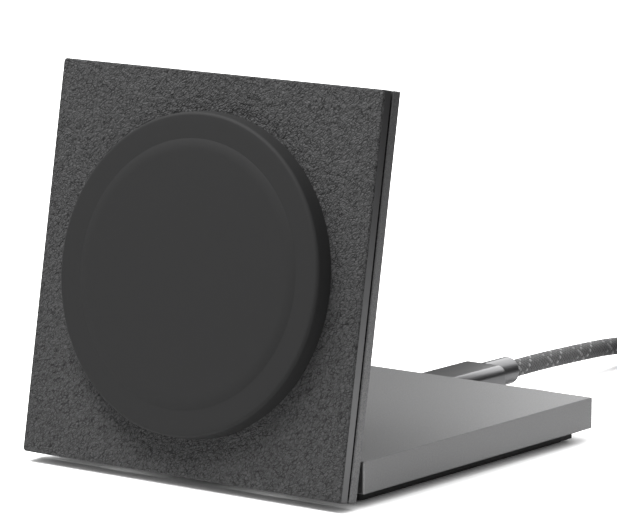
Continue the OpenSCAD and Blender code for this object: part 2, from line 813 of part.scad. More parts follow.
// Carrier with a rim for the magnets and a bed for the coil
module coil_carrier() {
    color("#202022") in_puck() difference() {
        translate([0, 0, pocket_z]) cylinder(r = carrier_r, h = carrier_h);
        translate([0, 0, stack_z]) cylinder(r = shield_r + play, h = carrier_h);
        translate([0, 0, stack_z]) difference() {
            cylinder(r = magnet_out_r + play, h = carrier_h);
            translate([0, 0, -1]) cylinder(r = magnet_in_r - play, h = carrier_h + 2);
        }
        translate([0, -lead_hole, pocket_z - 1]) cylinder(r = lead_d / 2 + 0.3, h = carrier_h);
        for (a = [90, 210, 330]) rotate([0, 0, a])
            translate([carrier_screw_r, 0, pocket_z - 0.1]) cylinder(r = m16_r + snug, h = 1.2);
    }
}

// Three screws from behind the tray into the carrier
module carrier_screws() {
    color("silver") in_puck() translate([0, 0, tray_z]) for (a = [90, 210, 330])
        rotate([0, 0, a]) translate([carrier_screw_r, 0, 0]) rotate([180, 0, 0])
            flat_screw(m16_r, m16_head, 0.7, tray_floor + 1);
}

// Steel ring behind the magnets
module magnet_yoke() {
    color("slategray") in_puck() translate([0, 0, stack_z]) difference() {
        cylinder(r = magnet_out_r, h = yoke_t);
        translate([0, 0, -1]) cylinder(r = magnet_in_r, h = yoke_t + 2);
        translate([0, -magnet_out_r, -1]) translate([-lead_d, -1, 0]) cube([2 * lead_d, magnet_w + 2, 3]);
    }
}

// Ring of magnet segments, open at the bottom where the lead comes in
module magnet_ring() {
    step = 360 / magnets;
    color("silver") in_puck() translate([0, 0, stack_z + yoke_t]) difference() {
        cylinder(r = magnet_out_r, h = magnet_h);
        translate([0, 0, -1]) cylinder(r = magnet_in_r, h = magnet_h + 2);
        for (k = [0 : magnets - 1]) rotate([0, 0, k * step - 90])
            translate([magnet_in_r - 1, -0.25, -1]) cube([magnet_w + 2, 0.5, magnet_h + 2]);
        translate([-lead_d, -magnet_out_r - 1, -1]) cube([2 * lead_d, magnet_w + 2, magnet_h + 2]);
    }
}

// Metal shield under the ferrite
module shield_plate() {
    color("slategray") in_puck() translate([0, 0, stack_z]) cylinder(r = shield_r, h = shield_t);
}

// Ferrite with a groove for the coil's inner lead: down along a chord, then straight out
module ferrite_disc() {
    groove_w = coil_wire_d + 0.8;
    groove_z = coil_z - coil_wire_d - 0.3;
    color("#2c2c30") in_puck() difference() {
        translate([0, 0, ferrite_z]) cylinder(r = shield_r - 0.2, h = ferrite_t);
        rotate([0, 0, lead_angle]) {
            translate([coil_in_r - 2, -groove_w / 2, groove_z]) cube([shield_r, groove_w, 3]);
            translate([coil_in_r - 0.9, 0, groove_z]) rotate([0, 0, chord_angle])
                translate([-1, -groove_w / 2, 0]) cube([0.7 * coil_in_r + 1, groove_w, 3]);
        }
    }
}

// Flat spiral from the outside in, then down into the groove and out again
coil_steps = 20;
coil_mid = coil_z + coil_wire_d / 2;
coil_low = coil_z - coil_wire_d / 2 - 0.15;
coil_out_r = coil_in_r + coil_turns * coil_pitch;
lead_angle = -90 + 40;
chord_angle = 261;
function polar(r, a, z) = [r * cos(a), r * sin(a), z];
function coil_route() = concat(
    [for (i = [0 : coil_turns * coil_steps])
        let (s = i / coil_steps)
        polar(coil_out_r - coil_pitch * s, -90 + 360 * s, coil_mid)],
    [
        polar(coil_in_r - 0.7, -76, coil_mid - 0.2), polar(coil_in_r - 1.25, -64, coil_mid - 0.7),
        polar(coil_in_r - 0.9, -53, coil_low), polar(coil_in_r + 0.6, lead_angle, coil_low),
        polar(shield_r - 0.8, lead_angle, coil_low)
    ]
);
module charging_coil() {
    color("#b5651d") in_puck() tube(coil_route(), coil_wire_d / 2, 6);
}

// Heat sensor on the ferrite in the coil's eye
module heat_sensor() {
    color("tan") in_puck() translate([0, 0, coil_z]) {
        rounded_plate(6, 4, 0.5, 0.3);
        translate([-1, -0.6, 0.3]) cube([2, 1.2, 0.7]);
    }
}

// Lead from the hinge pin up into the puck
module lead_upper() {
    y = panel_y - lead_hole;
    z = tray_z + lead_d / 2 - 0.4;
    color("#2a2a2c") in_panel() wire([
        [lead_meet - 0.2, 0, 0], [0, 0, 0], [0, 0, z], [0, y, z], [0, y, stack_z + lead_d / 2]
    ], lead_d / 2);
}

base_shell();
bottom_cover();
foot_pad();
cover_screws();
steel_weight();
main_board();
board_screws();
controller_chips();
power_inductor();
tank_capacitors();
port_shell();
port_tongue();
hinge_bracket();
bracket_screws();
friction_sleeves();
hinge_washers();
lead_lower();
plug_shell();
plug_insert();
plug_grip();
plug_collar();
cable_run();
cable_coil();
cable_tail();
cable_tie();
far_plug_collar();
far_plug_grip();
far_plug_shell();
far_plug_insert();
hinge_arm();
hinge_pin();
pin_clips();
arm_screws();
back_plate();
spacer_frame();
front_tray();
tray_screws();
leather_facing();
puck_cover();
coil_carrier();
carrier_screws();
magnet_yoke();
magnet_ring();
shield_plate();
ferrite_disc();
charging_coil();
heat_sensor();
lead_upper();
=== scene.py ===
"""Dresses the folding phone-charging stand: leather-faced panel, soft puck, metal slab and braided cable."""

import json
import logging
import math
from collections.abc import Callable, Iterable, Sequence
from dataclasses import dataclass, field
from enum import Enum

import bmesh
import bpy
from mathutils import Matrix, Vector, noise


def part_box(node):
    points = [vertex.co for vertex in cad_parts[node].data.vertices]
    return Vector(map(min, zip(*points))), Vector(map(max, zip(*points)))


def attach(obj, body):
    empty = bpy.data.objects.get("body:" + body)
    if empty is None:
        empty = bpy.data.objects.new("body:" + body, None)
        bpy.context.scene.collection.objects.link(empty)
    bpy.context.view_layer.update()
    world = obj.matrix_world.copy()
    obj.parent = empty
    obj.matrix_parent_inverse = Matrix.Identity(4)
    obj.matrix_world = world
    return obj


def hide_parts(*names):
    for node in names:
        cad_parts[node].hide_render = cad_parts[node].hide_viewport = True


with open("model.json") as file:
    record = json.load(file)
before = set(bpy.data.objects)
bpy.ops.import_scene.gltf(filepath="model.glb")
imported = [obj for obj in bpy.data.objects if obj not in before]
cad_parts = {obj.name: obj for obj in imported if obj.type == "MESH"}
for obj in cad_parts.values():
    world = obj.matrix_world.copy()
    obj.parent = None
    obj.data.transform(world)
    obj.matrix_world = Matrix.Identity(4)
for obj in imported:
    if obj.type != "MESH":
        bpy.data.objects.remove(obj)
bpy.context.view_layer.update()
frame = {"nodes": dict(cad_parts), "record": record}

LOG = logging.getLogger("stand")
MM = 0.001
CROWN_POWER, CROWN_FOOT = 0.6, 0.45  # How a strand of the braid swells across and along

Triple = tuple[float, float, float]
Socket = bpy.types.NodeSocket
Node = bpy.types.Node
NodeTree = bpy.types.NodeTree
Piece = bpy.types.Object
Shape = bmesh.types.BMesh


class Pattern(Enum):
    """The shared surface effects that a finish may use."""

    BLAST = "blasted_surface"
    PEBBLE = "pebbled_leather"
    BRAID = "braided_strands"
    SPECKLE = "fine_speckle"


class Tree:
    """Adds nodes to a material's or a group's node tree and joins them."""

    def __init__(self, tree: NodeTree) -> None:
        """Keeps the material's or the group's node tree that the nodes go to."""
        self.tree = tree

    def add(self, kind: str, inputs: dict[str | int, object] | None = None, **settings: object) -> Node:
        """Adds one node, sets it up and joins what feeds it.

        Args:
            kind: The node's type name.
            inputs: Value or source socket by the name or number of the input.
            **settings: Attributes of the node itself.

        Returns:
            The new node.
        """
        node = self.tree.nodes.new(kind)
        for key, value in settings.items():
            setattr(node, key, value)
        for key, value in (inputs or {}).items():
            self.feed(node.inputs[key], value)
        return node

    def feed(self, socket: Socket, value: object) -> None:
        """Joins a source socket to an input, or sets the input to a plain value."""
        if isinstance(value, Socket):
            self.tree.links.new(value, socket)
        else:
            socket.default_value = value

    def math(self, operation: str, *values: object) -> Socket:
        """Adds a Math node on source sockets or numbers and gives its output."""
        return self.add("ShaderNodeMath", dict(enumerate(values)), operation=operation).outputs[0]

    def vector(self, operation: str, *values: object) -> Socket:
        """Adds a Vector Math node on source sockets or vectors and gives its vector."""
        return self.add("ShaderNodeVectorMath", dict(enumerate(values)), operation=operation).outputs[0]

    def noise(self, where: object, scale: object, detail: float, roughness: float = 0.5) -> Node:
        """Adds a Noise Texture node."""
        values = {"Vector": where, "Scale": scale, "Detail": detail, "Roughness": roughness}
        return self.add("ShaderNodeTexNoise", values)

    def cells(self, where: object, scale: object, feature: str) -> Socket:
        """Adds a Voronoi Texture node and gives its distance."""
        return self.add("ShaderNodeTexVoronoi", {"Vector": where, "Scale": scale}, feature=feature).outputs["Distance"]

    def remap(self, value: object, low: float, high: float, to_low: float = 0, to_high: float = 1) -> Socket:
        """Maps a range of values to another, clamped and eased.

        Args:
            value: The source socket.
            low: Source value that gives to_low.
            high: Source value that gives to_high.
            to_low: First end of the result.
            to_high: Second end of the result.

        Returns:
            The mapped value's socket.
        """
        node = self.add(
            "ShaderNodeMapRange",
            {"Value": value, "From Min": low, "From Max": high, "To Min": to_low, "To Max": to_high},
            interpolation_type="SMOOTHSTEP",
        )
        return node.outputs["Result"]

    def mix(self, share: object, first: object, second: object) -> Socket:
        """Mixes two colours.

        Args:
            share: Socket or number from 0, the first, to 1, the second.
            first: Colour or colour socket.
            second: Colour or colour socket.

        Returns:
            The mixed colour's socket.
        """
        node = self.add("ShaderNodeMix", {"Factor": share}, data_type="RGBA")
        self.feed(node.inputs[6], first)
        self.feed(node.inputs[7], second)
        return node.outputs[2]


def rgba(colour: Triple, gain: float = 1.0) -> tuple[float, float, float, float]:
    """Gives a linear colour, times a factor, as a socket takes it."""
    return (colour[0] * gain, colour[1] * gain, colour[2] * gain, 1.0)


class Effects:
    """Builds each shared effect once, as a shader node group with named sockets."""

    def __init__(self) -> None:
        """Starts with no group built."""
        self.built: dict[Pattern, NodeTree] = {}

    def get(self, pattern: Pattern) -> NodeTree:
        """Gives the node group of one effect, built on first use."""
        if pattern not in self.built:
            maker: Callable[[], NodeTree] = getattr(self, f"_{pattern.name.lower()}")
            self.built[pattern] = maker()
        return self.built[pattern]

    @staticmethod
    def _group(name: str, inputs: dict[str, float], outputs: Sequence[str]) -> tuple[Tree, Node, Node]:
        """Starts a group with a Vector input, number inputs and number outputs.

        Args:
            name: The group's name.
            inputs: Default value by input name.
            outputs: Names of the outputs.

        Returns:
            The tree's helper, the group's input node and its output node.
        """
        group = bpy.data.node_groups.new(name, "ShaderNodeTree")
        group.interface.new_socket("Vector", in_out="INPUT", socket_type="NodeSocketVector")
        for label, value in inputs.items():
            socket = group.interface.new_socket(label, in_out="INPUT", socket_type="NodeSocketFloat")
            socket.default_value = value
        for label in outputs:
            group.interface.new_socket(label, in_out="OUTPUT", socket_type="NodeSocketFloat")
        tree = Tree(group)
        return tree, tree.add("NodeGroupInput"), tree.add("NodeGroupOutput")

    def _blast(self) -> NodeTree:
        """Makes the pitted, mottled face of blasted and anodised metal.

        Returns:
            A group with Tone, from dark to light, and Height.
        """
        tree, start, end = self._group("blasted_surface", {"Cells": 2600.0, "Mottle": 0.5}, ("Tone", "Height"))
        where, cells, mottle = start.outputs["Vector"], start.outputs["Cells"], start.outputs["Mottle"]
        coarse = tree.noise(where, cells, 2.0, 0.6)
        fine = tree.noise(where, tree.math("MULTIPLY", cells, 2.6), 1.0)
        pits = tree.cells(where, cells, "SMOOTH_F1")
        grain = tree.remap(coarse.outputs["Fac"], 0.3, 0.7)
        both = tree.math("ADD", tree.math("MULTIPLY", grain, mottle), tree.remap(fine.outputs["Fac"], 0.3, 0.7))
        tone = tree.math("DIVIDE", both, tree.math("ADD", mottle, 1.0))
        height = tree.math("ADD", tree.math("MULTIPLY", tone, 0.7), tree.math("MULTIPLY", pits, 0.5))
        tree.feed(end.inputs["Tone"], tone)
        tree.feed(end.inputs["Height"], height)
        return tree.tree

    def _pebble(self) -> NodeTree:
        """Makes leather: small pads that lean to one side, with creases between them that open and close.

        Returns:
            A group with Height, a mask that is 1 in the creases and darkens the colour there as painted shade, and
            Tone.
        """
        inputs = {"Cells": 850.0, "Warp": 0.0008, "Slant": math.radians(45)}
        tree, start, end = self._group("pebbled_leather", inputs, ("Height", "CreaseShade", "Tone"))
        where, cells = start.outputs["Vector"], start.outputs["Cells"]
        # The pattern is shifted, turned by the slant and drawn out along it
        drift = tree.noise(where, 420.0, 2.0).outputs["Color"]
        centred = tree.vector("SUBTRACT", drift, (0.5, 0.5, 0.5))
        warp = {0: centred, "Scale": start.outputs["Warp"]}
        moved = tree.vector("ADD", where, tree.add("ShaderNodeVectorMath", warp, operation="SCALE").outputs[0])
        slant = {"Vector": moved, "Angle": start.outputs["Slant"]}
        leaning = tree.add("ShaderNodeVectorRotate", slant, rotation_type="Y_AXIS").outputs[0]
        drawn = tree.vector("MULTIPLY", leaning, (0.52, 1, 1))
        # Large pads, smaller ones on them, and a fine grain over both
        big = tree.cells(drawn, cells, "DISTANCE_TO_EDGE")
        small = tree.cells(drawn, tree.math("MULTIPLY", cells, 1.7), "DISTANCE_TO_EDGE")
        grain = tree.remap(tree.noise(drawn, 2400.0, 2.0, 0.6).outputs["Fac"], 0.3, 0.7)
        pad = tree.math("MULTIPLY", tree.remap(big, 0.0, 0.22), 0.5)
        bead = tree.math("MULTIPLY", tree.remap(small, 0.0, 0.2), 0.2)
        height = tree.math("ADD", tree.math("ADD", pad, bead), tree.math("MULTIPLY", grain, 0.6))
        # The creases fade out in places
        patch = tree.noise(drawn, 1300.0, 1.0).outputs["Fac"]
        # Mask that is 1 in the creases, where the finish paints shade into the colour
        line = tree.math("SUBTRACT", 1.0, tree.remap(big, 0.0, 0.15))
        crease_shade = tree.math("MULTIPLY", line, tree.remap(patch, 0.38, 0.6, 0.4, 1))
        for name, value in (("Height", height), ("CreaseShade", crease_shade), ("Tone", grain)):
            tree.feed(end.inputs[name], value)
        return tree.tree

    def _braid(self) -> NodeTree:
        """Makes two sets of strands that cross over and under each other round a tube.

        The Vector input is the piece's UV: x goes once round, y counts turns of the braid's own pitch.

        Returns:
            A group with Height, Strand, a number for each strand, and a mask that is 1 between strands and darkens the
            colour there as painted shade.
        """
        tree, start, end = self._group("braided_strands", {"Strands": 12.0}, ("Height", "Strand", "Gap"))
        split = tree.add("ShaderNodeSeparateXYZ", {0: start.outputs["Vector"]})
        round_it = tree.math("MULTIPLY", split.outputs["X"], start.outputs["Strands"])
        left = tree.math("ADD", round_it, split.outputs["Y"])
        right = tree.math("SUBTRACT", round_it, split.outputs["Y"])
        left_id, right_id = tree.math("FLOOR", left), tree.math("FLOOR", right)
        over = tree.math("FLOORED_MODULO", tree.math("ADD", left_id, right_id), 2.0)
        left_in = tree.math("SINE", tree.math("MULTIPLY", tree.math("FRACT", left), math.pi))
        right_in = tree.math("SINE", tree.math("MULTIPLY", tree.math("FRACT", right), math.pi))
        across = self._pick(tree, over, left_in, right_in)
        along = self._pick(tree, over, right_in, left_in)
        across = tree.math("POWER", across, CROWN_POWER)
        crown = tree.math("MULTIPLY", across, tree.remap(along, 0, 1, CROWN_FOOT, 1))
        # Each strand keeps one number all along the cord; 50 sets the two directions apart
        wrapped = tree.math("FLOORED_MODULO", left_id, start.outputs["Strands"])
        other = tree.math("ADD", tree.math("FLOORED_MODULO", right_id, start.outputs["Strands"]), 50.0)
        number = {"W": self._pick(tree, over, wrapped, other)}
        strand = tree.add("ShaderNodeTexWhiteNoise", number, noise_dimensions="1D").outputs["Value"]
        # Mask between the strands, which the finish darkens as painted shade
        gap = tree.remap(crown, 0.0, CROWN_FOOT, 1, 0)
        for name, value in (("Height", crown), ("Strand", strand), ("Gap", gap)):
            tree.feed(end.inputs[name], value)
        return tree.tree

    @staticmethod
    def _pick(tree: Tree, chooser: object, first: object, second: object) -> Socket:
        """Gives the first value where the chooser is 0 and the second where it is 1."""
        node = tree.add("ShaderNodeMix", {"Factor": chooser, 2: first, 3: second}, data_type="FLOAT")
        return node.outputs[0]

    def _speckle(self) -> NodeTree:
        """Makes the faint unevenness of moulded, plated or drawn surfaces.

        Returns:
            A group with Tone and Height.
        """
        tree, start, end = self._group("fine_speckle", {"Cells": 1500.0}, ("Tone", "Height"))
        where, cells = start.outputs["Vector"], start.outputs["Cells"]
        grain = tree.noise(where, cells, 3.0, 0.6).outputs["Fac"]
        broad = tree.noise(where, tree.math("DIVIDE", cells, 24.0), 1.0).outputs["Fac"]
        tone = tree.math("ADD", tree.math("MULTIPLY", grain, 0.6), tree.math("MULTIPLY", broad, 0.4))
        tree.feed(end.inputs["Tone"], tone)
        tree.feed(end.inputs["Height"], grain)
        return tree.tree


@dataclass(frozen=True)
class Finish:
    """One surface finish, from a shared effect and a few numbers.

    Attributes:
        name: The material's name.
        colour: Linear colour where the effect is light.
        dark: Factor on the colour where the effect is dark; on leather and braid this darkness is painted shade in the
            creases and between the strands.
        roughness: Roughness at the effect's middle.
        spread: How far the effect moves the roughness.
        metallic: 1 for bare or anodised metal.
        pattern: Which shared effect it uses.
        cells: The effect's scale, in cells per metre.
        depth: Depth of the bump in metres.
        specular: Specular level.
        coat: Weight of a clear coat.
        sheen: Weight of the soft sheen on fabric.
    """

    name: str
    colour: Triple
    dark: float = 0.8
    roughness: float = 0.45
    spread: float = 0.08
    metallic: float = 0.0
    pattern: Pattern = Pattern.SPECKLE
    cells: float = 1500.0
    depth: float = 0.00001
    specular: float = 0.5
    coat: float = 0.0
    sheen: float = 0.0

    def material(self, effects: Effects) -> bpy.types.Material:
        """Builds the material.

        Args:
            effects: Where the shared effects come from.

        Returns:
            The node-based material.
        """
        made = bpy.data.materials.new(self.name)
        made.use_nodes = True
        tree = Tree(made.node_tree)
        shader = made.node_tree.nodes["Principled BSDF"]
        place = tree.add("ShaderNodeTexCoord")
        effect = tree.add("ShaderNodeGroup", node_tree=effects.get(self.pattern))
        braided = self.pattern is Pattern.BRAID
        tree.feed(effect.inputs["Vector"], place.outputs["UV" if braided else "Object"])
        if not braided:
            effect.inputs["Cells"].default_value = self.cells
        tone = self._tone(tree, effect)
        tree.feed(shader.inputs["Base Color"], tree.mix(tone, rgba(self.colour, self.dark), rgba(self.colour)))
        low, high = self.roughness - self.spread, self.roughness + self.spread
        tree.feed(shader.inputs["Roughness"], tree.remap(tone, 0, 1, high, low))
        bump = tree.add("ShaderNodeBump", {"Height": effect.outputs["Height"], "Distance": self.depth, "Strength": 1.0})
        tree.feed(shader.inputs["Normal"], bump.outputs["Normal"])
        shader.inputs["Metallic"].default_value = self.metallic
        shader.inputs["Specular IOR Level"].default_value = self.specular
        shader.inputs["Coat Weight"].default_value = self.coat
        shader.inputs["Sheen Weight"].default_value = self.sheen
        return made

    def _tone(self, tree: Tree, effect: Node) -> Socket:
        """Gives the value that lightens the colour, with painted shade in the leather's creases and between the braid's
        strands.

        Args:
            tree: The material's helper.
            effect: The group node.

        Returns:
            A socket from 0, dark, to 1, light.
        """
        if self.pattern is Pattern.PEBBLE:
            # Painted shade: the creases are darkened, and the grain varies the tone at random
            shade = tree.math("SUBTRACT", 1.0, effect.outputs["CreaseShade"])
            return tree.math("MULTIPLY", shade, tree.remap(effect.outputs["Tone"], 0, 1, 0.55, 1))
        if self.pattern is Pattern.BRAID:
            # Painted shade darkens the gaps between strands; most strands are dark, and about one in six is a light
            # fleck
            shade = tree.math("SUBTRACT", 1.0, effect.outputs["Gap"])
            return tree.math("MULTIPLY", shade, tree.remap(effect.outputs["Strand"], 0.78, 0.95, 0.17, 0.8))
        return effect.outputs["Tone"]


FINISHES: dict[str, Finish] = {finish.name: finish for finish in (
    Finish("slab_metal", (0.245, 0.245, 0.247), dark=0.84, roughness=0.52, spread=0.05,
           metallic=1.0, pattern=Pattern.BLAST, cells=3000.0, depth=0.00001),
    Finish("plate_metal", (0.19, 0.19, 0.192), dark=0.62, roughness=0.42, spread=0.08,
           metallic=1.0, pattern=Pattern.BLAST, cells=1700.0, depth=0.00003),
    Finish("tray_metal", (0.122, 0.122, 0.124), dark=0.94, roughness=0.3, spread=0.02,
           metallic=1.0, cells=2600.0, depth=0.000001),
    Finish("plug_metal", (0.135, 0.135, 0.138), dark=0.92, roughness=0.3, spread=0.03,
           metallic=1.0, cells=2600.0, depth=0.000001),
    Finish("steel", (0.52, 0.52, 0.53), dark=0.88, roughness=0.3, spread=0.05,
           metallic=1.0, cells=1800.0, depth=0.000002),
    Finish("bronze", (0.55, 0.40, 0.20), dark=0.85, roughness=0.35, spread=0.05,
           metallic=1.0, cells=1800.0, depth=0.000002),
    Finish("magnet", (0.62, 0.61, 0.58), dark=0.92, roughness=0.22, spread=0.04,
           metallic=1.0, cells=900.0, depth=0.000001),
    Finish("copper_wire", (0.62, 0.28, 0.12), dark=0.8, roughness=0.28, spread=0.05,
           metallic=1.0, coat=0.6, cells=1500.0, depth=0.000002),
    # The leather's dark factor sets the painted shade in its creases
    Finish("leather", (0.069, 0.069, 0.07), dark=0.16, roughness=0.58, spread=0.04,
           specular=0.18, pattern=Pattern.PEBBLE, cells=1900.0, depth=0.00015),
    Finish("soft_touch", (0.0185, 0.0185, 0.0187), dark=0.95, roughness=0.72, spread=0.02,
           specular=0.2, cells=5200.0, depth=0.000002),
    Finish("black_plastic", (0.010, 0.010, 0.0105), dark=0.8, roughness=0.5, spread=0.05,
           specular=0.2, pattern=Pattern.BLAST, cells=2200.0, depth=0.000008),
    Finish("rubber", (0.012, 0.012, 0.013), dark=0.8, roughness=0.7, spread=0.06,
           cells=2600.0, depth=0.00001),
    Finish("board", (0.012, 0.07, 0.035), dark=0.85, roughness=0.35, spread=0.04,
           coat=0.3, cells=700.0, depth=0.000002),
    Finish("ceramic_parts", (0.12, 0.10, 0.085), dark=0.8, roughness=0.55, spread=0.05,
           pattern=Pattern.BLAST, cells=2600.0, depth=0.000006),
    # The dark factors of the braid and the strap set the painted shade between their strands
    Finish("cable_braid", (0.34, 0.34, 0.345), dark=0.05, roughness=0.62, spread=0.1,
           sheen=0.12, pattern=Pattern.BRAID, depth=0.00012),
    Finish("tie_fabric", (0.03, 0.03, 0.031), dark=0.3, roughness=0.8, spread=0.05,
           sheen=0.4, pattern=Pattern.BRAID, depth=0.00006),
)}


class Wardrobe:
    """Keeps one material per slot and gives it to pieces."""

    def __init__(self, effects: Effects) -> None:
        """Builds every finish with the shared effects."""
        self.materials = {slot: finish.material(effects) for slot, finish in FINISHES.items()}

    def dress(self, piece: Piece, slot: str) -> None:
        """Gives a new piece or a CAD node the material of a slot."""
        piece.data.materials.clear()
        piece.data.materials.append(self.materials[slot])


def make_piece(shape: Shape, name: str, sharp_deg: float = 35.0) -> Piece:
    """Turns a bmesh into a smooth-shaded object at the origin and frees the bmesh.

    Args:
        shape: The finished shape, in place.
        name: The piece's name.
        sharp_deg: Edges that turn by more than this stay sharp.

    Returns:
        The new object.
    """
    mesh = bpy.data.meshes.new(name)
    shape.to_mesh(mesh)
    shape.free()
    mesh.shade_smooth()
    mesh.set_sharp_from_angle(angle=math.radians(sharp_deg))
    piece = bpy.data.objects.new(name, mesh)
    bpy.context.scene.collection.objects.link(piece)
    return piece


def place_piece(shape: Shape, name: str, place: Matrix) -> Piece:
    """Moves a shape to its place, turns its faces outwards and makes it a piece.

    Args:
        shape: The finished shape, at the origin.
        name: The piece's name.
        place: Where it goes.

    Returns:
        The new object.
    """
    bmesh.ops.transform(shape, matrix=place, verts=shape.verts[:])
    bmesh.ops.recalc_face_normals(shape, faces=shape.faces[:])
    return make_piece(shape, name, 40.0)


def clean(shape: Shape, merge: float = 1e-6) -> None:
    """Merges points closer than a distance and turns all faces of a closed shape outwards."""
    bmesh.ops.remove_doubles(shape, verts=shape.verts[:], dist=merge)
    bmesh.ops.recalc_face_normals(shape, faces=shape.faces[:])


def bevel(shape: Shape, edges: Iterable[bmesh.types.BMEdge], size: float, segments: int) -> None:
    """Rounds some edges of a shape by a size in metres, with a number of faces across."""
    bmesh.ops.bevel(
        shape, geom=list(edges), offset=size, offset_type="OFFSET", segments=segments, profile=0.5,
        affect="EDGES", clamp_overlap=True, material=-1,
    )


def arc(centre: tuple[float, float], radius: float, start: float, end: float, count: int) -> list[tuple[float, float]]:
    """Gives an arc of a profile, in a number of steps from one angle to another in degrees, both ends included."""
    angles = [math.radians(start + (end - start) * i / count) for i in range(count + 1)]
    return [(centre[0] + radius * math.cos(a), centre[1] + radius * math.sin(a)) for a in angles]


def turned(profile: Sequence[tuple[float, float]], steps: int) -> Shape:
    """Spins a closed profile round Z.

    Args:
        profile: Radius and height of each point, in order; the ends lie on the axis or meet.
        steps: Number of faces round.

    Returns:
        The closed solid.
    """
    shape = bmesh.new()
    points = [shape.verts.new((r, 0, z)) for r, z in profile]
    for first, second in zip(points, points[1:]):
        shape.edges.new((first, second))
    bmesh.ops.spin(
        shape, geom=shape.verts[:] + shape.edges[:], axis=(0, 0, 1), cent=(0, 0, 0), dvec=(0, 0, 0),
        angle=math.tau, steps=steps, use_merge=True, use_duplicate=False,
    )
    clean(shape)
    return shape


